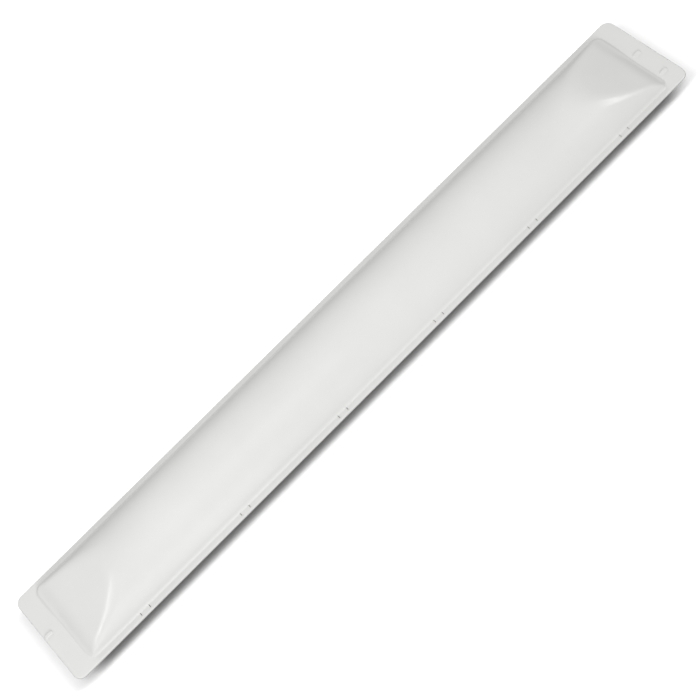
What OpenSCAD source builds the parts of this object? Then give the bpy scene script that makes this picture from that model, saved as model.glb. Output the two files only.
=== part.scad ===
// A 25 cm slide rule lying in its closed clamshell case.
// X runs along the case, +Y points to the hinged edge, +Z points up.
// The origin is the middle of the case's footprint, on the surface it lies on.

/* [Case] */
// Length of the lid's flange, end to end
case_l = 312.5; // [310:0.5:318]
// Width of the lid's flange, from the snap edge to the hinged edge
case_w = 41.5; // [41:0.1:43]
// Radius of the flange's four outer corners
case_corner_r = 3.2; // [2:0.1:5]
// Height of the underside of the lid's flange
flange_z = 9; // [9:0.1:10]
// Thickness of the lid's flange
flange_t = 1.3; // [1:0.1:1.5]
// Thickness of the moulded walls of lid and tray
wall = 1.3; // [1:0.1:1.4]

/* [Lid vault] */
// Width of the long flanges beside the vault
side_flange = 2.4; // [2.2:0.1:3.1]
// Width of the flanges at the two ends
end_flange = 8.3; // [7:0.1:8.5]
// Height of the vault's crown above the flange
crown_h = 10.9; // [10.6:0.1:13]
// Corner radius of the vault's footprint
vault_corner_r = 3.5; // [2.5:0.1:5]
// Length in plan of the sloping facet at each end
facet_l = 28; // [22:1:34]
// Height of the short riser that starts each facet
riser_h = 1.5; // [0.8:0.1:2]

/* [Snap edge] */
// Number of snap tongues along the front flange
tongue_count = 6; // [2:1:8]
// Spacing of the snap tongues
tongue_pitch = 49.12; // [30:0.5:50]
// Width of a tongue between the middles of its two slots
tongue_w = 4.2; // [3:0.1:6]
// Width of the slots beside a tongue
slot_w = 0.3; // [0.3:0.1:0.8]

/* [Hinge] */
// Distance of each of the two hinges from the middle
hinge_x = 90; // [60:1:120]
// Radius of the hinge knuckles
knuckle_r = 1.4; // [1.2:0.05:1.4]
// Radius of the hinge pins
pin_r = 0.6; // [0.4:0.05:0.8]
// Radial clearance of the pin in the lid's knuckle
pin_play = 0.05; // [0.02:0.01:0.1]

/* [Rule] */
// Length of the stock and of the slide
rule_l = 274; // [260:1:276]
// Width of the stock
rule_w = 26; // [26:0.1:26.2]
// Thickness of the rule, facings included
rule_t = 8; // [8:0.1:8.1]
// Width of the slide's face
slide_w = 11; // [9:0.5:12]
// Thickness of the celluloid facings
facing_t = 0.6; // [0.4:0.1:0.7]
// Gap on each side between slide and stock
slide_play = 0.1; // [0.05:0.01:0.15]

/* [Cursor] */
// Length of the cursor along the rule
cursor_l = 26; // [20:1:30]
// Thickness of the cursor's glass
glass_t = 1; // [0.6:0.1:1.1]

/* [Hidden] */
$fn = 96;
joined = 0.1;  // overlap between the joined shapes of one moulding
cut = 1;       // how far a cutting shape runs past what it cuts

// Lid
foot_l = case_l - 2 * end_flange;
foot_w = case_w - 2 * side_flange;
flange_top = flange_z + flange_t;
crown_z = flange_top + crown_h;
arc_r = (pow(foot_w / 2, 2) + pow(crown_h, 2)) / (2 * crown_h);
arc_z = crown_z - arc_r;
facet_slope = (crown_h - riser_h) / facet_l;
facet_drop = wall * sqrt(1 + pow(facet_slope, 2));  // wall of the facet, measured plumb
leg_in = 1.25;
leg_out_y = -case_w / 2 + leg_in;
leg_t = 0.65;
leg_bottom = 7;
bead_r = 0.35;
bead_out = 0.2;
slot_in = 0.1;       // from the foot of the vault to a slot
slot_edge = 1.1;     // from a slot to the edge of the flange

// Locating pips: [x, y]
pips = [[151.2, 0.6], [151.2, -12.7], [-153.9, 1.2]];
pip_l = 2.7;
pip_w = 0.7;
pip_h = 0.5;
pip_play = 0.12;
pip_skin = 0.5;

// Tray
floor_t = 1.4;
tray_l = foot_l;
tray_in = 3.1;       // from the side of the flange in to the side of the tray
tray_w = case_w - 2 * tray_in;
chamfer_in = 2.25;
chamfer_h = 3.5;
rim_t = 1.2;
rim_end = 1.35;      // the rim stops this far short of the lid's flange
rim_front_in = 2.2;  // and this far short of its snap edge
rim_front_y = -case_w / 2 + rim_front_in;
rim_corner_r = 1.5;
cavity_l = tray_l - 2 * wall;
cavity_w = tray_w - 2 * wall;
rib_xs = [-120, -40, 40, 120];
rib_t = 2;
cradle_z = 3;
rib_lip_z = 4.2;
rib_gap = 0.2;       // between a rib's lips and the stock
stop_t = 1.8;
stop_in_y = 10;
stop_top = 8.5;
stop_gap = 0.3;      // between an end stop and the rule

// Hinge
hinge_in = 1.55;
hinge_y = case_w / 2 - hinge_in;
hinge_z = 7.3;
lid_web = [-0.7, 1.2];  // the web over the lid's knuckle, from the axis
base_web_up = 0.7;      // top of the web behind a fixed knuckle, above the axis
lid_knuckle_l = 10;
base_knuckle_l = 6;
knuckle_gap = 0.3;
pin_l = lid_knuckle_l + 2 * base_knuckle_l + 2 * knuckle_gap;

// Rule
rule_z = cradle_z;
face_z = rule_z + rule_t;
wood_z = face_z - facing_t;
strip_t = 0.6;
strip_w = 25.2;
stock_z = rule_z + strip_t;
well_t = 0.4;
well_gap = 0.05;
stock_in = slide_w / 2 + slide_play;
stock_out = rule_w / 2;
bevel_in = 1.6;
bevel_down = 2;
tongue_out = 0.9;
slide_tongue_z = [6.6, 7.8];
slide_z = 4.3;
back_facing_t = 0.4;
cursor_groove_z = [5.6, 7];
cursor_groove_in = 1;

// Pins and screws through the back strip
brad_pitch = 44;
brad_xs = [for (i = [-3 : 3]) i * brad_pitch];
brad_y = -9.5;
brad_r = 0.4;
brad_head_r = 0.8;
brad_head_t = 0.25;
brad_top = 6.2;
screw_xs = [-100, 0, 100];
screw_y = 9.5;
screw_r = 0.6;
screw_hole_r = 0.75;
screw_head_r = 1.4;
screw_head_t = 0.6;
screw_top = 7.5;
screw_slot = 0.35;

// Cursor
rail_reach = 1.1;
far_rail_gap = 0.15;
near_rail_gap = 0.5;
rail_out = stock_out + rail_reach;
rail_bottom = 4.6;
far_rail_in = stock_out + far_rail_gap;
near_rail_in = stock_out + near_rail_gap;
rail_play = 0.1;
shelf_in = 11;
shelf_gap = 0.15;
shelf_z = face_z + shelf_gap;
shelf_t = 0.5;
shelf_top = shelf_z + shelf_t;
glass_in = 0.4;
glass_l = cursor_l - 2 * glass_in;
glass_w = 27.8;
glass_corner_r = 1;
cursor_screw_x = 10.8;
cursor_screw_y = 12.4;
cursor_screw_r = 0.45;
cursor_screw_play = 0.1;
cursor_head_r = 0.9;
cursor_head_t = 0.5;
cursor_head_slot = 0.25;
spring_t = 0.15;
spring_l = 21;
spring_z = [7.3, 10.2];
spring_foot = 1.5;
spring_crown = 4;
spring_gap = 0.03;

module rounded_plate(length, width, radius, height) {
    linear_extrude(height = height) {
        square([length - 2 * radius, width], center = true);
        square([length, width - 2 * radius], center = true);
        for (x = [-1, 1])
            for (y = [-1, 1])
                translate([x * (length / 2 - radius), y * (width / 2 - radius)])
                    circle(r = radius);
    }
}

module along_x(length) {
    rotate([90, 0, 90])
        linear_extrude(height = length, center = true)
            children();
}

module along_y(length) {
    rotate([90, 0, 0])
        linear_extrude(height = length, center = true)
            children();
}

module rod_x(radius, length) {
    rotate([0, 90, 0])
        cylinder(r = radius, h = length, center = true);
}

module stadium(length, width, height) {
    linear_extrude(height = height) {
        square([length - width, width], center = true);
        for (x = [-1, 1])
            translate([x * (length - width) / 2, 0])
                circle(d = width);
    }
}

// The body under the vaulted roof. inset moves every wall and the roof inwards,
// and drop lowers the end facets by the matching amount.
module vault_body(inset, drop, bottom) {
    end_x = foot_l / 2 - inset;
    crown_x = foot_l / 2 - facet_l;
    end_z = flange_top + riser_h - drop + inset * facet_slope;
    roof_z = crown_z - drop;
    intersection() {
        translate([0, 0, arc_z])
            rod_x(arc_r - inset, case_l);
        translate([0, 0, bottom])
            rounded_plate(foot_l - 2 * inset, foot_w - 2 * inset, vault_corner_r - inset,
                crown_z - bottom + cut);
        along_y(case_w)
            polygon([
                [-end_x, bottom],
                [end_x, bottom],
                [end_x, end_z],
                [crown_x, roof_z],
                [crown_x - cut, crown_z + cut],
                [cut - crown_x, crown_z + cut],
                [-crown_x, roof_z],
                [-end_x, end_z]]);
    }
}

module snap_leg(x) {
    translate([x, leg_out_y + leg_t / 2, (leg_bottom + flange_z + joined) / 2])
        cube([tongue_w - 2 * slot_w, leg_t, flange_z + joined - leg_bottom], center = true);
    translate([x, leg_out_y + leg_t + bead_out - bead_r, leg_bottom + bead_r])
        rod_x(bead_r, tongue_w - 2 * slot_w);
}

module tongue_slots(x) {
    slot_l = side_flange - slot_in - slot_edge;
    slot_y = -foot_w / 2 - slot_in - slot_l / 2;
    for (side = [-1, 1])
        translate([x + side * tongue_w / 2, slot_y, flange_z + flange_t / 2])
            cube([slot_w, slot_l, flange_t + 2 * cut], center = true);
}

function tongue_x(i) = (i - (tongue_count - 1) / 2) * tongue_pitch;

module lid_knuckle() {
    translate([0, hinge_y, hinge_z])
        rod_x(knuckle_r, lid_knuckle_l);
    translate([-lid_knuckle_l / 2, hinge_y + lid_web[0], hinge_z])
        cube([lid_knuckle_l, lid_web[1] - lid_web[0], flange_z + joined - hinge_z]);
}

module lid_shell() {
    color("whitesmoke")
        difference() {
            union() {
                translate([0, 0, flange_z])
                    rounded_plate(case_l, case_w, case_corner_r, flange_t);
                vault_body(0, 0, flange_z);
                for (i = [0 : tongue_count - 1])
                    snap_leg(tongue_x(i));
                for (side = [-1, 1])
                    translate([side * hinge_x, 0, 0])
                        lid_knuckle();
                for (p = pips)
                    translate([p[0], p[1], flange_top - joined])
                        stadium(pip_l + 2 * (pip_play + pip_skin),
                            pip_w + 2 * (pip_play + pip_skin), pip_h + joined);
            }
            vault_body(wall, facet_drop, flange_z - cut);
            for (i = [0 : tongue_count - 1])
                tongue_slots(tongue_x(i));
            for (p = pips)
                translate([p[0], p[1], flange_z - cut])
                    stadium(pip_l + 2 * pip_play, pip_w + 2 * pip_play, pip_h + pip_play + cut);
            translate([0, hinge_y, hinge_z])
                for (side = [-1, 1])
                    translate([side * hinge_x, 0, 0])
                        rod_x(pin_r + pin_play, lid_knuckle_l + 2 * cut);
        }
}

// The tray's tapered body: the sides lean in over the lowest few millimetres.
module tray_body(length, width, radius, bottom, top) {
    intersection() {
        translate([0, 0, bottom])
            rounded_plate(length, width, radius, top - bottom);
        along_x(length)
            polygon([
                [-width / 2 + chamfer_in, bottom],
                [width / 2 - chamfer_in, bottom],
                [width / 2, bottom + chamfer_h],
                [width / 2, top],
                [-width / 2, top],
                [-width / 2, bottom + chamfer_h]]);
        along_y(width)
            polygon([
                [-length / 2 + chamfer_in, bottom],
                [length / 2 - chamfer_in, bottom],
                [length / 2, bottom + chamfer_h],
                [length / 2, top],
                [-length / 2, top],
                [-length / 2, bottom + chamfer_h]]);
    }
}

module cradle_rib(x) {
    translate([x, 0, 0])
        along_x(rib_t)
            polygon([
                [-cavity_w / 2 - joined, floor_t - joined],
                [cavity_w / 2 + joined, floor_t - joined],
                [cavity_w / 2 + joined, rib_lip_z],
                [stock_out + rib_gap, rib_lip_z],
                [stock_out + rib_gap, cradle_z],
                [-stock_out - rib_gap, cradle_z],
                [-stock_out - rib_gap, rib_lip_z],
                [-cavity_w / 2 - joined, rib_lip_z]]);
}

// One of the four ribs off the side walls that keep the rule from sliding along the tray.
module end_stop(x_side, y_side) {
    stop_l = cavity_w / 2 + joined - stop_in_y;
    x = x_side * (rule_l / 2 + stop_gap + stop_t / 2);
    translate([x, y_side * (stop_in_y + stop_l / 2), (floor_t - joined + stop_top) / 2])
        cube([stop_t, stop_l, stop_top - floor_t + joined], center = true);
}

module base_knuckle(x_side) {
    x = x_side * (lid_knuckle_l / 2 + knuckle_gap + base_knuckle_l / 2);
    translate([x, hinge_y, hinge_z])
        rod_x(knuckle_r, base_knuckle_l);
    translate([x - base_knuckle_l / 2, tray_w / 2 - joined, hinge_z - knuckle_r])
        cube([base_knuckle_l, hinge_y - tray_w / 2 + joined, knuckle_r + base_web_up]);
}

module base_tray() {
    rim_l = case_l - 2 * rim_end;
    rim_w = tray_w / 2 - rim_front_y;
    color("whitesmoke")
        difference() {
            union() {
                difference() {
                    union() {
                        tray_body(tray_l, tray_w, vault_corner_r, 0, flange_z);
                        translate([0, rim_front_y + rim_w / 2, flange_z - rim_t])
                            rounded_plate(rim_l, rim_w, rim_corner_r, rim_t);
                    }
                    tray_body(cavity_l, cavity_w, vault_corner_r - wall, floor_t, flange_z + cut);
                }
                intersection() {
                    tray_body(tray_l, tray_w, vault_corner_r, 0, flange_z);
                    union() {
                        for (x = rib_xs)
                            cradle_rib(x);
                        for (x_side = [-1, 1])
                            for (y_side = [-1, 1])
                                end_stop(x_side, y_side);
                    }
                }
                for (side = [-1, 1])
                    translate([side * hinge_x, 0, 0])
                        for (x_side = [-1, 1])
                            base_knuckle(x_side);
                for (p = pips)
                    translate([p[0], p[1], flange_z - joined])
                        stadium(pip_l, pip_w, pip_h + joined);
            }
            translate([0, hinge_y, hinge_z])
                for (side = [-1, 1])
                    translate([side * hinge_x, 0, 0])
                        rod_x(pin_r, pin_l + 2 * cut);
        }
}

module hinge_pins() {
    color("silver")
        for (side = [-1, 1])
            translate([side * hinge_x, hinge_y, hinge_z])
                rod_x(pin_r, pin_l);
}

// Half of the stock, on the +Y side. edge is the outline of its outer top edge, from below.
module stock_profile(edge) {
    tongue_low = slide_tongue_z[0] - slide_play;
    tongue_high = slide_tongue_z[1] + slide_play;
    groove_y = stock_in + tongue_out;
    below = [
        [stock_in, stock_z],
        [stock_out, stock_z],
        [stock_out, cursor_groove_z[0]],
        [stock_out - cursor_groove_in, cursor_groove_z[0]],
        [stock_out - cursor_groove_in, cursor_groove_z[1]],
        [stock_out, cursor_groove_z[1]]];
    inner = [
        [stock_in, wood_z],
        [stock_in, tongue_high],
        [groove_y, tongue_high],
        [groove_y, tongue_low],
        [stock_in, tongue_low]];
    polygon(concat(below, edge, inner));
}

module upper_stock() {
    color("saddlebrown")
        difference() {
            along_x(rule_l)
                stock_profile([[stock_out, wood_z - bevel_down], [stock_out - bevel_in, wood_z]]);
            for (x = screw_xs)
                translate([x, screw_y, stock_z - cut])
                    cylinder(r = screw_r, h = screw_top - stock_z + cut);
        }
}

module lower_stock() {
    color("saddlebrown")
        difference() {
            mirror([0, 1, 0])
                along_x(rule_l)
                    stock_profile([[stock_out, wood_z]]);
            for (x = brad_xs)
                translate([x, brad_y, stock_z - cut])
                    cylinder(r = brad_r, h = brad_top - stock_z + cut);
        }
}

module back_strip() {
    color("silver")
        difference() {
            translate([0, 0, rule_z + strip_t / 2])
                cube([rule_l, strip_w, strip_t], center = true);
            for (x = brad_xs)
                translate([x, brad_y, rule_z - cut]) {
                    cylinder(r = brad_r, h = strip_t + 2 * cut);
                    cylinder(r = brad_head_r, h = brad_head_t + cut);
                }
            for (x = screw_xs)
                translate([x, screw_y, rule_z - cut])
                    cylinder(r = screw_hole_r, h = strip_t + 2 * cut);
        }
}

module well_strip() {
    color("ivory")
        translate([0, 0, stock_z + well_t / 2])
            cube([rule_l, 2 * (stock_in - well_gap), well_t], center = true);
}

module back_pins() {
    color("goldenrod")
        for (x = brad_xs)
            translate([x, brad_y, rule_z]) {
                cylinder(r = brad_head_r, h = brad_head_t);
                cylinder(r = brad_r, h = brad_top - rule_z);
            }
}

module adjusting_screws() {
    color("goldenrod")
        for (x = screw_xs)
            translate([x, screw_y, rule_z])
                difference() {
                    union() {
                        cylinder(r = screw_r, h = screw_top - rule_z);
                        translate([0, 0, -screw_head_t])
                            cylinder(r = screw_head_r, h = screw_head_t);
                    }
                    translate([0, 0, -screw_head_t])
                        cube([2 * (screw_head_r + cut), screw_slot, screw_head_t], center = true);
                }
}

module flat_facing(low_y, high_y, low_z, thickness) {
    color("ivory")
        translate([-rule_l / 2, low_y, low_z])
            cube([rule_l, high_y - low_y, thickness]);
}

module upper_facing() {
    flat_facing(stock_in, stock_out - bevel_in, wood_z, facing_t);
}

module lower_facing() {
    flat_facing(-stock_out, -stock_in, wood_z, facing_t);
}

module ruler_edge_facing() {
    color("ivory")
        along_x(rule_l)
            polygon([
                [stock_out - bevel_in, wood_z],
                [stock_out, wood_z - bevel_down],
                [stock_out, face_z - bevel_down],
                [stock_out - bevel_in, face_z]]);
}

module slide_core() {
    half = slide_w / 2;
    tongue_y = half + tongue_out;
    core_z = slide_z + back_facing_t;
    color("saddlebrown")
        along_x(rule_l)
            polygon([
                [-half, core_z],
                [half, core_z],
                [half, slide_tongue_z[0]],
                [tongue_y, slide_tongue_z[0]],
                [tongue_y, slide_tongue_z[1]],
                [half, slide_tongue_z[1]],
                [half, wood_z],
                [-half, wood_z],
                [-half, slide_tongue_z[1]],
                [-tongue_y, slide_tongue_z[1]],
                [-tongue_y, slide_tongue_z[0]],
                [-half, slide_tongue_z[0]]]);
}

module slide_facing() {
    flat_facing(-slide_w / 2, slide_w / 2, wood_z, facing_t);
}

module slide_back_facing() {
    flat_facing(-slide_w / 2, slide_w / 2, slide_z, back_facing_t);
}

// A cursor rail on the +Y side, with its wall starting at wall_in.
module cursor_rail(wall_in) {
    tongue_in = stock_out - cursor_groove_in + rail_play;
    difference() {
        along_x(cursor_l)
            polygon([
                [wall_in, rail_bottom],
                [rail_out, rail_bottom],
                [rail_out, shelf_top],
                [shelf_in, shelf_top],
                [shelf_in, shelf_z],
                [wall_in, shelf_z],
                [wall_in, cursor_groove_z[1] - rail_play],
                [tongue_in, cursor_groove_z[1] - rail_play],
                [tongue_in, cursor_groove_z[0] + rail_play],
                [wall_in, cursor_groove_z[0] + rail_play]]);
        for (side = [-1, 1])
            translate([side * cursor_screw_x, cursor_screw_y, shelf_z - cut])
                cylinder(r = cursor_screw_r, h = shelf_t + 2 * cut);
    }
}

module cursor_rail_far() {
    color("silver")
        cursor_rail(far_rail_in);
}

module cursor_rail_near() {
    color("silver")
        mirror([0, 1, 0])
            cursor_rail(near_rail_in);
}

module cursor_glass() {
    color("lightcyan", 0.4)
        difference() {
            translate([0, 0, shelf_top])
                rounded_plate(glass_l, glass_w, glass_corner_r, glass_t);
            for (x = [-1, 1])
                for (y = [-1, 1])
                    translate([x * cursor_screw_x, y * cursor_screw_y, shelf_top - cut])
                        cylinder(r = cursor_screw_r + cursor_screw_play, h = glass_t + 2 * cut);
        }
}

module cursor_screws() {
    head_z = shelf_top + glass_t;
    color("silver")
        for (x = [-1, 1])
            for (y = [-1, 1])
                translate([x * cursor_screw_x, y * cursor_screw_y, 0])
                    difference() {
                        union() {
                            translate([0, 0, shelf_z])
                                cylinder(r = cursor_screw_r, h = head_z - shelf_z);
                            translate([0, 0, head_z])
                                cylinder(r = cursor_head_r, h = cursor_head_t);
                        }
                        translate([0, 0, head_z + cursor_head_t])
                            cube([2 * (cursor_head_r + cut), cursor_head_slot, cursor_head_t],
                                center = true);
                    }
}

// A pressed leaf: two feet on the rail's wall and a crown towards the stock.
module cursor_spring() {
    foot_x = spring_l / 2;
    bend_x = foot_x - spring_foot;
    crown_x = spring_crown / 2;
    foot_y = -near_rail_in;
    crown_y = -stock_out - spring_gap - spring_t;
    color("darkgoldenrod")
        translate([0, 0, spring_z[0]])
            linear_extrude(height = spring_z[1] - spring_z[0])
                polygon([
                    [-foot_x, foot_y],
                    [-bend_x, foot_y],
                    [-crown_x, crown_y],
                    [crown_x, crown_y],
                    [bend_x, foot_y],
                    [foot_x, foot_y],
                    [foot_x, foot_y + spring_t],
                    [bend_x, foot_y + spring_t],
                    [crown_x, crown_y + spring_t],
                    [-crown_x, crown_y + spring_t],
                    [-bend_x, foot_y + spring_t],
                    [-foot_x, foot_y + spring_t]]);
}

base_tray();
lid_shell();
hinge_pins();
upper_stock();
lower_stock();
back_strip();
well_strip();
back_pins();
adjusting_screws();
upper_facing();
lower_facing();
ruler_edge_facing();
slide_core();
slide_facing();
slide_back_facing();
cursor_rail_far();
cursor_rail_near();
cursor_glass();
cursor_screws();
cursor_spring();
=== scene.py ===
import math

import bmesh
import bpy
import numpy as np
from mathutils import Matrix, Vector


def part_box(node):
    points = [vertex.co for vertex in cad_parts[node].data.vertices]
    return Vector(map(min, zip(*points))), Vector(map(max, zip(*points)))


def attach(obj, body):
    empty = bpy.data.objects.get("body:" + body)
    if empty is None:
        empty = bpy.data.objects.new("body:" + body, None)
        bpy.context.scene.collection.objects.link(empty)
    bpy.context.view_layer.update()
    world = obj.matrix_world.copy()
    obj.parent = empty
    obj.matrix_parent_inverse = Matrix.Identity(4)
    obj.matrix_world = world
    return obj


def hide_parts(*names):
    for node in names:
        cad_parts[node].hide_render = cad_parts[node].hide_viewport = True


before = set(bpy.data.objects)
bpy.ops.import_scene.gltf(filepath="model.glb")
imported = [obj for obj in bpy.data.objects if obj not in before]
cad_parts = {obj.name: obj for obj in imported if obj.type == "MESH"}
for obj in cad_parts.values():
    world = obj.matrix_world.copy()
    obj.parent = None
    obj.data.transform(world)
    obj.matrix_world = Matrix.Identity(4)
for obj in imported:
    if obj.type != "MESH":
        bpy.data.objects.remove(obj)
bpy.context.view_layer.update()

MM = 0.001

# ---------------------------------------------------------------- sizes, in millimetres


def box_mm(node):
    low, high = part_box(node)
    return [c / MM for c in low], [c / MM for c in high]


lid_low, lid_high = box_mm("lid_shell")
tray_high = box_mm("base_tray")[1]
strip_low, strip_high = box_mm("back_strip")
face_low, face_high = box_mm("slide_facing")
upper_low, upper_high = box_mm("upper_facing")
lower_low, lower_high = box_mm("lower_facing")
edge_low, edge_high = box_mm("ruler_edge_facing")
glass_low, glass_high = box_mm("cursor_glass")

CASE_L = lid_high[0] - lid_low[0]
CASE_W = lid_high[1] - lid_low[1]
CORNER_R = 3.2
WALL = 1.3
FLANGE_T = 1.3
PIP_H = 0.5
FLANGE_Z = tray_high[2] - PIP_H
FLANGE_TOP = FLANGE_Z + FLANGE_T
CROWN_H = lid_high[2] - FLANGE_TOP
SIDE_FLANGE = 2.4
END_FLANGE = 8.3
VAULT_L = CASE_L - 2 * END_FLANGE
VAULT_W = CASE_W - 2 * SIDE_FLANGE
VAULT_CORNER_R = 3.5
FACET_L = 28.0
RISER_H = 1.5
END_RISE = 0.7  # slope of the gentle ramp at each end, and how softly it joins the facet
FAR_FILLET = 1.6  # how much softer the vault's far foot is than its near one
FAR_FILLET_RUN = 10.0  # over this much of the width the foot goes from the near to the far softness
OUTER_STEEP = 2.4  # slope of the vault's side walls, outside and inside
INNER_STEEP = 9.0
FOOT_SPREAD = 1.8  # how far outside the vault its foot's fillet reaches
OUTER_SOFT = (1.8, 1.2)  # softness of the ridges and of the foot, outside and inside
INNER_SOFT = (1.7, 0.2)
FACET_SLOPE = (CROWN_H - RISER_H) / FACET_L
ARC_R = ((VAULT_W / 2) ** 2 + CROWN_H**2) / (2 * CROWN_H)
ARC_Z = FLANGE_TOP + CROWN_H - ARC_R

TONGUES = 6
TONGUE_PITCH = 49.12
TONGUE_W = 4.2
SLOT_W = 0.2
SLOT_Y = (-(CASE_W / 2 - 1.1), -(VAULT_W / 2 + 0.1))
RIM_R = 0.42
SLOT_RIM_R = 0.2
SLOT_RING_MAX = 40  # a slot's edge has fewer points than this, the shell's outline has more

HINGE_X = 90.0
HINGE_Y = CASE_W / 2 - 1.55
HINGE_Z = 7.3
KNUCKLE_R = 1.4
KNUCKLE_L = 10.0
KNUCKLE_BORE = 0.65
WEB_LOW = -0.7  # the web between knuckle and flange, from the hinge's axis
WEB_HIGH = 1.2
SINK = 0.1  # how far knuckles and legs run up into the flange
LEG_OUT_Y = -CASE_W / 2 + 1.25
LEG_T = 0.65
LEG_W = 3.6
LEG_BOTTOM = 7.0
BEAD_R = 0.35
BEAD_OUT = 0.2
LEG_CHAMFER = 0.15
BEAD_LEAD = 0.1  # height of the slope from the bead back to the leg

PIPS = [(151.2, 0.6), (151.2, -12.7), (-153.9, 1.2)]
PIP_L = 3.94
PIP_W = 1.94
PIP_SOFT = 0.5
POCKET_L = 2.94
POCKET_W = 0.94
POCKET_H = 0.62
POCKET_SOFT = 0.15

# ---------------------------------------------------------------- camera


def make_camera():
    """The camera stands above the front edge, near the left third, turned by its roll."""
    stand = Vector((-0.2031, -0.8063, 1.4507)) * CASE_L * MM
    aim = Vector((-0.0193, -0.0093, 0)) * CASE_L * MM
    plane = Vector((0, 0, FLANGE_TOP * MM))
    data = bpy.data.cameras.new("camera")
    data.lens = 73.25
    data.sensor_width = 36
    data.clip_start = 0.01
    data.clip_end = 20
    camera = bpy.data.objects.new("camera", data)
    bpy.context.scene.collection.objects.link(camera)
    camera.location = stand + plane
    level = (aim - stand).to_track_quat("-Z", "Y").to_matrix()
    roll = Matrix.Rotation(math.radians(-33.43), 3, "Z")
    camera.rotation_euler = (level @ roll).to_euler()
    bpy.context.scene.camera = camera


# ---------------------------------------------------------------- mesh helpers


def add_object(name, mesh, body, material, smooth_angle):
    piece = bpy.data.objects.new(name, mesh)
    bpy.context.scene.collection.objects.link(piece)
    mesh.materials.clear()
    mesh.materials.append(material)
    mesh.shade_smooth()
    mesh.set_sharp_from_angle(angle=math.radians(smooth_angle))
    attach(piece, body)
    return piece


def lines(segments):
    """Grid lines from 0 outwards: each segment is (where it ends, how many steps it takes)."""
    values = [0.0]
    for end, steps in segments:
        values.extend(np.linspace(values[-1], end, steps + 1)[1:])
    return values


def merged(values, gap):
    """The values in order, without those closer together than gap."""
    kept = []
    for value in sorted(values):
        if not kept or value - kept[-1] > gap:
            kept.append(value)
    return kept


def smooth_min(a, b, reach):
    blend = np.maximum(reach - np.abs(a - b), 0) / reach
    return np.minimum(a, b) - blend * blend * reach / 4


def smooth_max(a, b, reach):
    return -smooth_min(-a, -b, reach)


def smooth_step(value):
    t = np.clip(value, 0, 1)
    return t * t * (3 - 2 * t)


def inside_rounded(x, y, length, width, radius):
    """Distance inwards from the outline of a rounded rectangle, negative outside it."""
    qx = np.abs(x) - (length / 2 - radius)
    qy = np.abs(y) - (width / 2 - radius)
    outside = np.hypot(np.maximum(qx, 0), np.maximum(qy, 0))
    return radius - outside - np.minimum(np.maximum(qx, qy), 0)


# ---------------------------------------------------------------- lid


def vault_height(x, y, inset, base, ridge, foot):
    """Height of the vaulted roof over base, for the outside (inset 0) or the inside of its wall."""
    arc = ARC_Z + np.sqrt(np.maximum((ARC_R - inset) ** 2 - y * y, 1)) - base
    drop = inset * math.sqrt(1 + FACET_SLOPE**2)
    facet = FLANGE_TOP + RISER_H - drop - base + FACET_SLOPE * (VAULT_L / 2 - np.abs(x))
    edge = inside_rounded(x, y, VAULT_L - 2 * inset, VAULT_W - 2 * inset, VAULT_CORNER_R - inset)
    steep = OUTER_STEEP if inset == 0 else INNER_STEEP
    roof = smooth_min(smooth_min(arc, facet, ridge), steep * edge, foot)
    if inset == 0:
        roof = smooth_min(roof, END_RISE * (VAULT_L / 2 - np.abs(x)), END_RISE)
        foot = foot + FAR_FILLET * smooth_step(y / FAR_FILLET_RUN)
    return np.where(edge > -FOOT_SPREAD, smooth_max(roof, 0 * roof, foot), 0)


def pip_bump(x, y, length, width, height, soft):
    total = np.zeros_like(x)
    for pip_x, pip_y in PIPS:
        edge = inside_rounded(x - pip_x, y - pip_y, length, width, width / 2 - 0.01)
        total += height * smooth_step(edge / soft)
    return total


def lid_top(x, y):
    return FLANGE_TOP + vault_height(x, y, 0, FLANGE_TOP, *OUTER_SOFT) + pip_bump(
        x, y, PIP_L, PIP_W, PIP_H, PIP_SOFT
    )


def lid_under(x, y):
    return FLANGE_Z + vault_height(x, y, WALL, FLANGE_Z, *INNER_SOFT) + pip_bump(
        x, y, POCKET_L, POCKET_W, POCKET_H, POCKET_SOFT
    )


def slot_centres():
    for i in range(TONGUES):
        middle = (i - (TONGUES - 1) / 2) * TONGUE_PITCH
        for side in (-1, 1):
            yield middle + side * TONGUE_W / 2


def lid_grid_lines():
    """The shell's grid: finer at the facets, ends and pips, with lines on the slots' edges."""
    half_l = CASE_L / 2 - RIM_R
    half_w = CASE_W / 2 - RIM_R
    corner = CORNER_R - RIM_R
    along = lines([(108, 36), (126, 24), (145.6, 26), (149.0, 26), (half_l - corner, 20)])
    along += [half_l - corner + corner * math.sin(math.radians(a)) for a in range(9, 91, 9)]
    across = lines([(11, 11), (16.2, 9), (19.0, 28), (half_w, 6)])
    xs = [s * v for v in along for s in (-1, 1)]
    ys = [s * v for v in across for s in (-1, 1)]
    for pip_y in sorted({p[1] for p in PIPS}):
        ys += list(np.linspace(pip_y - 1.2, pip_y + 1.2, 17))
    xs = [x for x in xs if all(abs(x - c) > SLOT_W for c in slot_centres())]
    reach = SLOT_W / 2 + SLOT_RIM_R
    for centre in slot_centres():
        xs += [centre - reach, centre + reach]
    slot_ys = [SLOT_Y[0] - SLOT_RIM_R, SLOT_Y[1] + SLOT_RIM_R]
    ys = [y for y in ys if all(abs(y - s) > 0.08 for s in slot_ys)]
    return merged(xs, 0.02), merged(ys + slot_ys, 0.04)


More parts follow.
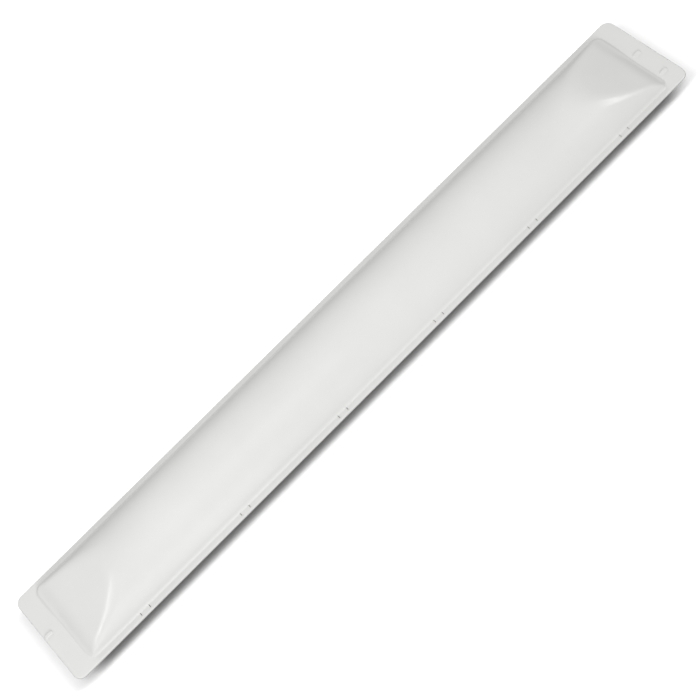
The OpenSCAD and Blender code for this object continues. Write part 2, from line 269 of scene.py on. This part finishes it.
def lid_shell_mesh():
    """One closed shell: an upper and a lower sheet on the same grid, joined by a rounded rim."""
    xs, ys = lid_grid_lines()
    half_l = CASE_L / 2 - RIM_R
    half_w = CASE_W / 2 - RIM_R
    corner = CORNER_R - RIM_R
    into = np.maximum(np.abs(xs) - (half_l - corner), 0)
    reach = half_w - corner + np.sqrt(np.maximum(corner**2 - into**2, 0))
    grid_x, grid_y = np.meshgrid(xs, ys, indexing="ij")
    # beside the round corners the rows draw in, so that the last one follows the outline
    grid_y = grid_y * (reach / half_w)[:, None]
    top = lid_top(grid_x, grid_y)
    under = lid_under(grid_x, grid_y)

    cut = np.zeros((len(xs) - 1, len(ys) - 1), bool)
    mid_x = (np.array(xs)[1:] + np.array(xs)[:-1]) / 2
    mid_y = (np.array(ys)[1:] + np.array(ys)[:-1]) / 2
    for centre in slot_centres():
        columns = np.abs(mid_x - centre) < SLOT_W / 2 + SLOT_RIM_R
        rows = (mid_y > SLOT_Y[0] - SLOT_RIM_R) & (mid_y < SLOT_Y[1] + SLOT_RIM_R)
        cut |= columns[:, None] & rows[None, :]

    mesh = bmesh.new()
    sheets = []
    for height in (top, under):
        sheets.append(
            [
                [
                    mesh.verts.new((grid_x[i, j] * MM, grid_y[i, j] * MM, height[i, j] * MM))
                    for j in range(len(ys))
                ]
                for i in range(len(xs))
            ]
        )
    upper, lower = sheets
    for i in range(len(xs) - 1):
        for j in range(len(ys) - 1):
            if cut[i, j]:
                continue
            mesh.faces.new((upper[i][j], upper[i + 1][j], upper[i + 1][j + 1], upper[i][j + 1]))
            mesh.faces.new((lower[i][j], lower[i][j + 1], lower[i + 1][j + 1], lower[i + 1][j]))
    pair = {upper[i][j]: lower[i][j] for i in range(len(xs)) for j in range(len(ys))}
    add_rim(mesh, pair)
    loose = [v for v in mesh.verts if not v.link_faces]
    bmesh.ops.delete(mesh, geom=loose, context="VERTS")
    return mesh


def add_rim(mesh, pair):
    """Joins the two sheets round each of their open edges with a rounded rim."""
    follow = {}
    for edge in mesh.edges:
        if len(edge.link_faces) == 1 and edge.verts[0] in pair and edge.verts[1] in pair:
            loop = edge.link_loops[0]
            follow[loop.vert] = loop.link_loop_next.vert
    while follow:
        ring = [next(iter(follow))]
        while follow[ring[-1]] is not ring[0]:
            ring.append(follow[ring[-1]])
        for vert in ring:
            del follow[vert]
        add_ring(mesh, ring, pair)


def add_ring(mesh, ring, pair):
    count = len(ring)
    radius = (RIM_R if count > SLOT_RING_MAX else SLOT_RIM_R) * MM
    outward = []
    for k, vert in enumerate(ring):
        before = (vert.co - ring[k - 1].co).xy.normalized()
        after = (ring[(k + 1) % count].co - vert.co).xy.normalized()
        normal = Vector((before.y + after.y, -before.x - after.x))
        normal.normalize()
        outward.append(normal / max(normal.dot(Vector((before.y, -before.x))), 0.5))
    turns = [math.radians(a) for a in (30, 60, 90)]
    rows = [ring]
    for side, angles in ((1, turns), (-1, turns[::-1])):
        for angle in angles:
            row = []
            for vert, out in zip(ring, outward):
                base = (vert if side == 1 else pair[vert]).co
                shift = out * radius * math.sin(angle)
                drop = side * radius * (1 - math.cos(angle))
                row.append(mesh.verts.new((base.x + shift.x, base.y + shift.y, base.z - drop)))
            rows.append(row)
    rows.append([pair[v] for v in ring])
    for a, b in zip(rows[:-1], rows[1:]):
        for k in range(count):
            n = (k + 1) % count
            mesh.faces.new((a[n], a[k], b[k], b[n]))


def add_prism_x(mesh, outline, middle_x, length, hole=None):
    """A closed prism along X. outline and hole are lists of (y, z), with as many points each."""
    ends = []
    for side in (-0.5, 0.5):
        x = middle_x + side * length
        loops = [[mesh.verts.new((x * MM, y * MM, z * MM)) for y, z in outline]]
        if hole:
            loops.append([mesh.verts.new((x * MM, y * MM, z * MM)) for y, z in hole])
        ends.append(loops)
    count = len(outline)
    for k in range(count):
        n = (k + 1) % count
        mesh.faces.new((ends[0][0][k], ends[0][0][n], ends[1][0][n], ends[1][0][k]))
        if hole:
            mesh.faces.new((ends[0][1][n], ends[0][1][k], ends[1][1][k], ends[1][1][n]))
            mesh.faces.new((ends[0][0][n], ends[0][0][k], ends[0][1][k], ends[0][1][n]))
            mesh.faces.new((ends[1][0][k], ends[1][0][n], ends[1][1][n], ends[1][1][k]))
    if not hole:
        mesh.faces.new(ends[0][0][::-1])
        mesh.faces.new(ends[1][0])


def knuckle_outline(points):
    """A barrel whose top runs up into the flange: the round part, then the two sides of the web."""
    outline = []
    web_low = HINGE_Y + WEB_LOW
    web_high = HINGE_Y + WEB_HIGH
    for k in range(points):
        angle = 2 * math.pi * k / points
        y = HINGE_Y + KNUCKLE_R * math.cos(angle)
        z = HINGE_Z + KNUCKLE_R * math.sin(angle)
        if z > HINGE_Z and web_low <= y <= web_high:
            z = FLANGE_Z + SINK
        outline.append((y, z))
    return outline


def knuckle_hole(points):
    return [
        (
            HINGE_Y + KNUCKLE_BORE * math.cos(2 * math.pi * k / points),
            HINGE_Z + KNUCKLE_BORE * math.sin(2 * math.pi * k / points),
        )
        for k in range(points)
    ]


def leg_outline():
    """A snap leg, seen along X: a flat tongue with a round bead on its inner side."""
    inner = LEG_OUT_Y + LEG_T
    bead_z = LEG_BOTTOM + BEAD_R
    top = FLANGE_Z + SINK
    outline = [(inner, top), (LEG_OUT_Y, top), (LEG_OUT_Y, LEG_BOTTOM + LEG_CHAMFER)]
    outline += [(LEG_OUT_Y + LEG_CHAMFER, LEG_BOTTOM)]
    bead_y = inner + BEAD_OUT - BEAD_R
    for degrees in range(-90, 61, 15):
        angle = math.radians(degrees)
        outline.append((bead_y + BEAD_R * math.cos(angle), bead_z + BEAD_R * math.sin(angle)))
    outline.append((inner, bead_z + BEAD_R + BEAD_LEAD))
    return outline


def make_lid(material):
    mesh = lid_shell_mesh()
    for side in (-1, 1):
        add_prism_x(mesh, knuckle_outline(48), side * HINGE_X, KNUCKLE_L, knuckle_hole(48))
    for i in range(TONGUES):
        middle = (i - (TONGUES - 1) / 2) * TONGUE_PITCH
        add_prism_x(mesh, leg_outline(), middle, LEG_W)
    bmesh.ops.recalc_face_normals(mesh, faces=mesh.faces)
    data = bpy.data.meshes.new("lid")
    mesh.to_mesh(data)
    mesh.free()
    lid = add_object("lid", data, "lid", material, 40)
    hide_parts("lid_shell")


# ---------------------------------------------------------------- scales

SCALE_L = 250.0
INK_T = 0.03
INK_SUNK = 0.3  # share of the ink's thickness that lies below the face, so that it doesn't float
THICK_MARK = 0.11
THIN_MARK = 0.08
BEVEL_DROP = 2.0  # how far the ruler's bevelled edge falls from the stock's face


def add_block(mesh, plane, x, up, width, height, thick):
    """A closed block of ink lying on a plane: plane is (point on it, its up, its normal)."""
    origin, upwards, normal = plane
    corners = []
    for depth in (-INK_SUNK * thick, (1 - INK_SUNK) * thick):
        for along, rise in ((-0.5, 0), (0.5, 0), (0.5, 1), (-0.5, 1)):
            place = origin + Vector((x + along * width, 0, 0))
            place = place + upwards * (up + rise * height) + normal * depth
            corners.append(mesh.verts.new(place * MM))
    ends = [(3, 2, 1, 0), (4, 5, 6, 7)]
    sides = [(0, 1, 5, 4), (1, 2, 6, 5), (2, 3, 7, 6), (3, 0, 4, 7)]
    for face in ends + sides:
        mesh.faces.new([corners[k] for k in face])


GLYPHS = {}
DIGIT_H = 0.7  # height of the font's digits at size 1
DIGIT_GAP = 0.08  # space between digits at size 1


def glyph(letter):
    """The built-in font's glyph at size 1, drawn once: (mesh, low corner, high corner)."""
    if letter not in GLYPHS:
        curve = bpy.data.curves.new("glyph", "FONT")
        curve.body = letter
        curve.size = 1.0
        curve.resolution_u = 3
        holder = bpy.data.objects.new("glyph", curve)
        bpy.context.scene.collection.objects.link(holder)
        depsgraph = bpy.context.evaluated_depsgraph_get()
        mesh = bpy.data.meshes.new_from_object(holder.evaluated_get(depsgraph))
        co = np.array([v.co for v in mesh.vertices])
        low, high = co.min(0), co.max(0)
        bpy.data.objects.remove(holder)
        bpy.data.curves.remove(curve)
        GLYPHS[letter] = (mesh, low, high)
    return GLYPHS[letter]


def add_number(mesh, plane, text, x, up, height, thick):
    """Digits centred on x, standing height tall on the plane."""
    origin, upwards, normal = plane
    parts = [glyph(c) for c in text]
    size = height / DIGIT_H
    total = sum(high[0] - low[0] for _, low, high in parts) + DIGIT_GAP * (len(parts) - 1)
    start = -total / 2
    for data, low, high in parts:
        solid = bmesh.new()
        solid.from_mesh(data)
        made = bmesh.ops.extrude_face_region(solid, geom=solid.faces[:])
        raised = [v for v in made["geom"] if isinstance(v, bmesh.types.BMVert)]
        bmesh.ops.translate(solid, verts=raised, vec=(0, 0, thick / size))
        for vert in solid.verts:
            across = (vert.co.x - low[0] + start) * size
            rise = vert.co.y * size
            place = origin + Vector((x + across, 0, 0)) + upwards * (up + rise)
            vert.co = (place + normal * (vert.co.z * size - INK_SUNK * thick)) * MM
        copy = bpy.data.meshes.new("copy")
        solid.to_mesh(copy)
        solid.free()
        mesh.from_mesh(copy)
        bpy.data.meshes.remove(copy)
        start += high[0] - low[0] + DIGIT_GAP


def rank_of(value):
    """How long a division's mark is, from 0 for the longest to 3, where a whole number is 100."""
    for rank, step in enumerate((100, 50, 10)):
        if value % step == 0:
            return rank
    return 3


def log_marks(decades):
    """(share, rank, number or None) of each division of a logarithmic scale."""
    if decades == 1:
        spans = [(100, 200, 1), (200, 400, 2), (400, 1000, 5)]
    elif decades == 2:
        spans = [(100, 200, 2), (200, 500, 5), (500, 1000, 10)]
    else:
        spans = [(100, 300, 5), (300, 600, 10), (600, 1000, 20)]
    for decade in range(decades):
        for low, high, step in spans:
            for value in range(low, high, step):
                share = (decade + math.log10(value / 100)) / decades
                rank = rank_of(value)
                yield share, rank, value // 100 if rank == 0 else None
    yield 1.0, 0, 1


def linear_marks(count, parts):
    """(share, rank, number or None) of a linear scale: count units, each in that many parts."""
    for k in range(count * parts + 1):
        rank = 0 if k % parts == 0 else 1 if 2 * k % parts == 0 else 3
        yield k / (count * parts), rank, k // parts if rank == 0 else None


def add_scale(mesh, plane, marks, direction, heights, number_h, number_gap, length=SCALE_L):
    """One scale: marks that stand on the plane's line, growing up (1) or down (-1) from it."""
    for share, rank, number in marks:
        x = (share - 0.5) * length
        height = heights[rank]
        low = 0 if direction > 0 else -height
        width = THICK_MARK if rank < 2 else THIN_MARK
        add_block(mesh, plane, x, low, width, height, INK_T)
        if number is not None:
            base = heights[0] + number_gap
            up = base if direction > 0 else -base - number_h
            add_number(mesh, plane, str(number), x, up, number_h, INK_T)


def finish_ink(name, mesh, body, material):
    data = bpy.data.meshes.new(name)
    mesh.to_mesh(data)
    mesh.free()
    return add_object(name, data, body, material, 20)


def make_scales(ink):
    up = Vector((0, 1, 0))
    out = Vector((0, 0, 1))
    top = face_high[2]
    upper = bmesh.new()
    add_scale(upper, (Vector((0, upper_low[1] + 0.1, top)), up, out), log_marks(2), 1,
              (1.5, 1.2, 0.9, 0.65), 1.0, 0.15)
    add_scale(upper, (Vector((0, upper_high[1] - 0.1, top)), up, out), log_marks(3), -1,
              (1.2, 1.0, 0.8, 0.6), 0.9, 0.15)
    finish_ink("upper_scales", upper, "case", ink)
    slide = bmesh.new()
    add_scale(slide, (Vector((0, face_high[1] - 0.1, top)), up, out), log_marks(2), -1,
              (1.5, 1.2, 0.9, 0.65), 1.0, 0.15)
    add_scale(slide, (Vector((0, face_low[1] + 0.1, top)), up, out), log_marks(1), 1,
              (1.9, 1.5, 1.2, 0.9), 1.2, 0.2)
    finish_ink("slide_scales", slide, "slide", ink)
    lower = bmesh.new()
    add_scale(lower, (Vector((0, lower_high[1] - 0.1, top)), up, out), log_marks(1), -1,
              (1.9, 1.5, 1.2, 0.9), 1.2, 0.2)
    add_scale(lower, (Vector((0, lower_low[1] + 0.3, top)), up, out), linear_marks(10, 20), 1,
              (1.3, 1.05, 0.8, 0.7), 1.0, 0.15)
    finish_ink("lower_scales", lower, "case", ink)
    bevel_run = edge_high[1] - edge_low[1]
    bevel_top = Vector((0, edge_low[1], edge_high[2]))
    bevel_foot = Vector((0, edge_high[1], edge_high[2] - BEVEL_DROP))
    slope = (bevel_top - bevel_foot).normalized()
    face_out = Vector((0, BEVEL_DROP, bevel_run)).normalized()
    ruler = bmesh.new()
    centimetres = int((strip_high[0] - strip_low[0]) // 10)
    add_scale(ruler, (bevel_foot + slope * 0.05, slope, face_out), linear_marks(centimetres, 10), 1,
              (1.1, 0.9, 0.7, 0.6), 0.9, 0.12, centimetres * 10.0)
    finish_ink("ruler_scale", ruler, "case", ink)


def make_hairline(ink):
    """The line scratched across the underside of the cursor's glass and filled with ink."""
    mesh = bmesh.new()
    plane = (Vector((0, 0, glass_low[2] - 0.01)), Vector((0, 1, 0)), Vector((0, 0, 1)))
    width = glass_high[1] - glass_low[1]
    add_block(mesh, plane, 0, -0.4 * width, 0.09, 0.8 * width, 0.02)
    finish_ink("hairline", mesh, "cursor", ink)


# ---------------------------------------------------------------- materials


class Nodes:
    """A small writer of node trees: each call adds one node and returns it."""

    def __init__(self, name):
        self.material = bpy.data.materials.new(name)
        self.material.use_nodes = True
        self.tree = self.material.node_tree
        self.shader = self.tree.nodes["Principled BSDF"]
        self.where = self.add("ShaderNodeTexCoord").outputs["Object"]

    def add(self, kind, **settings):
        node = self.tree.nodes.new(kind)
        for key, value in settings.items():
            setattr(node, key, value)
        return node

    def link(self, source, target):
        self.tree.links.new(source, target)

    def stretched(self, scale):
        mapping = self.add("ShaderNodeMapping")
        mapping.inputs["Scale"].default_value = scale
        self.link(self.where, mapping.inputs["Vector"])
        return mapping.outputs["Vector"]

    def noise(self, scale, detail=3.0, rough=0.5, stretch=(1, 1, 1), distortion=0.0):
        node = self.add("ShaderNodeTexNoise")
        node.inputs["Scale"].default_value = scale
        node.inputs["Detail"].default_value = detail
        node.inputs["Roughness"].default_value = rough
        node.inputs["Distortion"].default_value = distortion
        self.link(self.stretched(stretch), node.inputs["Vector"])
        return node.outputs["Fac"]

    def ramp(self, value, stops):
        """A colour ramp. stops is a list of (position, colour)."""
        node = self.add("ShaderNodeValToRGB")
        ramp = node.color_ramp
        while len(ramp.elements) < len(stops):
            ramp.elements.new(0.5)
        for element, (position, colour) in zip(ramp.elements, stops):
            element.position = position
            element.color = (*colour, 1)
        self.link(value, node.inputs["Fac"])
        return node.outputs["Color"]

    def range(self, value, low, high, start=0.3, end=0.7):
        node = self.add("ShaderNodeMapRange")
        node.inputs["From Min"].default_value = start
        node.inputs["From Max"].default_value = end
        node.inputs["To Min"].default_value = low
        node.inputs["To Max"].default_value = high
        self.link(value, node.inputs["Value"])
        return node.outputs["Result"]

    def math(self, operation, a, b):
        node = self.add("ShaderNodeMath", operation=operation)
        for socket, value in zip(node.inputs, (a, b)):
            if isinstance(value, (int, float)):
                socket.default_value = value
            else:
                self.link(value, socket)
        return node.outputs["Value"]

    def bump(self, height, distance, strength=1.0):
        node = self.add("ShaderNodeBump")
        node.inputs["Distance"].default_value = distance
        node.inputs["Strength"].default_value = strength
        self.link(height, node.inputs["Height"])
        self.link(node.outputs["Normal"], self.shader.inputs["Normal"])

    def set(self, **values):
        for name, value in values.items():
            self.shader.inputs[name.replace("_", " ")].default_value = value

    def colour(self, output):
        self.link(output, self.shader.inputs["Base Color"])

    def roughness(self, output):
        self.link(output, self.shader.inputs["Roughness"])


def plastic_material():
    """Moulded white styrene: faint clouding, an orange-peel skin and fine handling marks."""
    n = Nodes("case_plastic")
    clouds = n.noise(28, 4, 0.6)
    n.colour(n.ramp(clouds, [(0.3, (0.685, 0.687, 0.672)), (0.7, (0.715, 0.717, 0.702))]))
    scuffs = n.noise(60, 5, 0.65, (1, 6, 6))
    n.roughness(n.range(scuffs, 0.2, 0.27))
    peel = n.noise(260, 2, 0.5)
    swell = n.noise(16, 2, 0.4)
    n.bump(n.math("ADD", n.math("MULTIPLY", peel, 0.03), swell), 0.0005, 0.35)
    n.set(IOR=1.49)
    return n.material


def wood_material():
    """Mahogany: bands and pores drawn out along the grain."""
    n = Nodes("mahogany")
    bands = n.noise(90, 4, 0.6, (0.09, 1, 1), 0.6)
    pores = n.noise(900, 3, 0.7, (0.05, 1, 1))
    tone = n.math("ADD", n.math("MULTIPLY", bands, 0.75), n.math("MULTIPLY", pores, 0.25))
    n.colour(n.ramp(tone, [(0.33, (0.075, 0.022, 0.009)), (0.5, (0.19, 0.062, 0.024)),
                           (0.68, (0.31, 0.12, 0.05))]))
    n.roughness(n.range(pores, 0.36, 0.55))
    n.bump(pores, 0.00006, 0.6)
    return n.material


def celluloid_material():
    """Celluloid gone ivory with age: soft mottling, deeper in places, with a worn satin face."""
    n = Nodes("celluloid")
    mottle = n.noise(55, 5, 0.6, (0.4, 1, 1))
    n.colour(n.ramp(mottle, [(0.3, (0.74, 0.67, 0.48)), (0.55, (0.82, 0.77, 0.62)),
                             (0.8, (0.86, 0.82, 0.70))]))
    wear = n.noise(420, 4, 0.6, (0.2, 1, 1))
    n.roughness(n.range(wear, 0.28, 0.45))
    n.bump(wear, 0.00002, 0.5)
    return n.material


def metal_material(name, dark, light, low, high, stretch):
    """Drawn metal: fine lines along the stretch, and tone that drifts over the part."""
    n = Nodes(name)
    drift = n.noise(120, 3, 0.5)
    n.colour(n.ramp(drift, [(0.3, dark), (0.7, light)]))
    fine = n.noise(2600, 3, 0.6, stretch)
    n.roughness(n.range(fine, low, high))
    n.bump(fine, 0.00001, 0.5)
    n.set(Metallic=1.0)
    return n.material


def glass_material():
    """Clear cursor glass, with the faint smears of handling."""
    n = Nodes("cursor_glass")
    smears = n.noise(160, 4, 0.6, (1, 0.5, 1))
    n.roughness(n.range(smears, 0.0, 0.06, 0.5, 0.8))
    n.set(Transmission_Weight=1.0, IOR=1.5, Alpha=0.25, Base_Color=(0.95, 0.985, 0.98, 1))
    return n.material


def ink_material():
    """Engraver's black, a little thinner in places."""
    n = Nodes("ink")
    thin = n.noise(500, 3, 0.6)
    n.colour(n.ramp(thin, [(0.3, (0.006, 0.006, 0.007)), (0.75, (0.03, 0.028, 0.026))]))
    n.roughness(n.range(thin, 0.45, 0.65))
    return n.material


def floor_material():
    n = Nodes("floor")
    grain = n.noise(9, 3, 0.5)
    n.colour(n.ramp(grain, [(0.3, (0.4, 0.4, 0.4)), (0.7, (0.41, 0.41, 0.41))]))
    n.set(Roughness=0.9)
    return n.material


# ---------------------------------------------------------------- CAD pieces


def dress(node, material, edge):
    """A CAD piece as it is, with its edges broken by edge millimetres, and its material."""
    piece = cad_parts[node]
    piece.data.materials.clear()
    piece.data.materials.append(material)
    weld = piece.modifiers.new("weld", "WELD")
    weld.merge_threshold = 2e-6
    flatten = piece.modifiers.new("flatten", "DECIMATE")
    flatten.decimate_type = "DISSOLVE"
    flatten.angle_limit = math.radians(0.4)
    bevel = piece.modifiers.new("edges", "BEVEL")
    bevel.width = edge * MM
    bevel.segments = 2
    bevel.limit_method = "ANGLE"
    bevel.angle_limit = math.radians(40)
    bevel.harden_normals = True
    bevel.use_clamp_overlap = True


def dress_all(materials):
    edges = {
        "base_tray": ("case_plastic", 0.25),
        "hinge_pins": ("steel", 0.1),
        "upper_stock": ("mahogany", 0.12),
        "lower_stock": ("mahogany", 0.12),
        "back_strip": ("aluminium", 0.06),
        "well_strip": ("celluloid", 0.04),
        "back_pins": ("brass", 0.05),
        "adjusting_screws": ("brass", 0.06),
        "upper_facing": ("celluloid", 0.06),
        "lower_facing": ("celluloid", 0.06),
        "ruler_edge_facing": ("celluloid", 0.05),
        "slide_core": ("mahogany", 0.1),
        "slide_facing": ("celluloid", 0.06),
        "slide_back_facing": ("celluloid", 0.04),
        "cursor_rail_far": ("aluminium", 0.12),
        "cursor_rail_near": ("aluminium", 0.12),
        "cursor_glass": ("glass", 0.12),
        "cursor_screws": ("steel", 0.06),
        "cursor_spring": ("brass", 0.02),
    }
    for node, (material, edge) in edges.items():
        dress(node, materials[material], edge)


# ---------------------------------------------------------------- floor and light


def make_floor():
    size = 6.0
    mesh = bpy.data.meshes.new("floor")
    mesh.from_pydata(
        [(-size, -size, 0), (size, -size, 0), (size, size, 0), (-size, size, 0)], [], [(0, 1, 2, 3)]
    )
    mesh.materials.append(floor_material())
    floor = bpy.data.objects.new("floor", mesh)
    bpy.context.scene.collection.objects.link(floor)
    return floor


def add_area_light(name, place, aim, width, height, power):
    data = bpy.data.lights.new(name, "AREA")
    data.shape = "RECTANGLE"
    data.size = width
    data.size_y = height
    data.energy = power
    lamp = bpy.data.objects.new(name, data)
    bpy.context.scene.collection.objects.link(lamp)
    lamp.location = place
    direction = Vector(aim) - Vector(place)
    lamp.rotation_euler = direction.to_track_quat("-Z", "Y").to_euler()
    return lamp


def light_only(lamps, floor, state):
    """Keeps the lamps' light on the floor (INCLUDE) or off it (EXCLUDE)."""
    group = bpy.data.collections.new("light on floor " + state.lower())
    group.objects.link(floor)
    group.collection_objects[0].light_linking.link_state = state
    for lamp in lamps:
        lamp.light_linking.receiver_collection = group


def make_light(floor):
    world = bpy.data.worlds.new("studio")
    bpy.context.scene.world = world
    world.use_nodes = True
    sky = world.node_tree.nodes["Background"]
    sky.inputs["Color"].default_value = (1, 1, 1, 1)
    sky.inputs["Strength"].default_value = 0.565
    under = [
        add_area_light("floor_box", (x, -0.44, 2.4), (0, 0, 0), width, 1.65, power)
        for x, width, power in ((-0.2, 1.2, 50), (1.4, 0.5, 76), (-1.95, 0.5, 108))
    ]
    near = add_area_light("near_box", (-0.045, -0.05, 0.29), (-0.04, 0, 0), 0.12, 0.12, 0.09)
    fill = add_area_light("fill_box", (-0.3, -0.75, 0.42), (0, 0, 0), 0.6, 0.4, 3.5)
    back = add_area_light("back_box", (-0.1, 1.0, 0.5), (0, 0, 0), 0.6, 0.4, 2.4)
    left = add_area_light("left_box", (-0.82, 0, 1.15), (-0.13, 0, 0), 0.8, 0.1, 2.2)
    right = add_area_light("right_box", (0.9, -0.3, 1.12), (0.13, 0, 0), 0.8, 0.1, 3.2)
    for lamp in (*under, fill, back):
        lamp.data.cycles.max_bounces = 0
    for lamp in (near, fill, back):
        lamp.visible_glossy = False
    light_only(under, floor, "INCLUDE")
    light_only([near, fill, back, left, right], floor, "EXCLUDE")
    bpy.context.scene.view_settings.view_transform = "Standard"


make_camera()
materials = {
    "case_plastic": plastic_material(),
    "mahogany": wood_material(),
    "celluloid": celluloid_material(),
    "aluminium": metal_material(
        "aluminium", (0.62, 0.63, 0.64), (0.74, 0.75, 0.76), 0.25, 0.42, (0.02, 1, 1)
    ),
    "steel": metal_material("steel", (0.5, 0.5, 0.52), (0.62, 0.62, 0.64), 0.18, 0.3, (0.05, 1, 1)),
    "brass": metal_material("brass", (0.58, 0.4, 0.15), (0.74, 0.55, 0.24), 0.22, 0.38, (1, 1, 1)),
    "glass": glass_material(),
}
ink = ink_material()
dress_all(materials)
make_lid(materials["case_plastic"])
make_scales(ink)
make_hairline(ink)
make_light(make_floor())
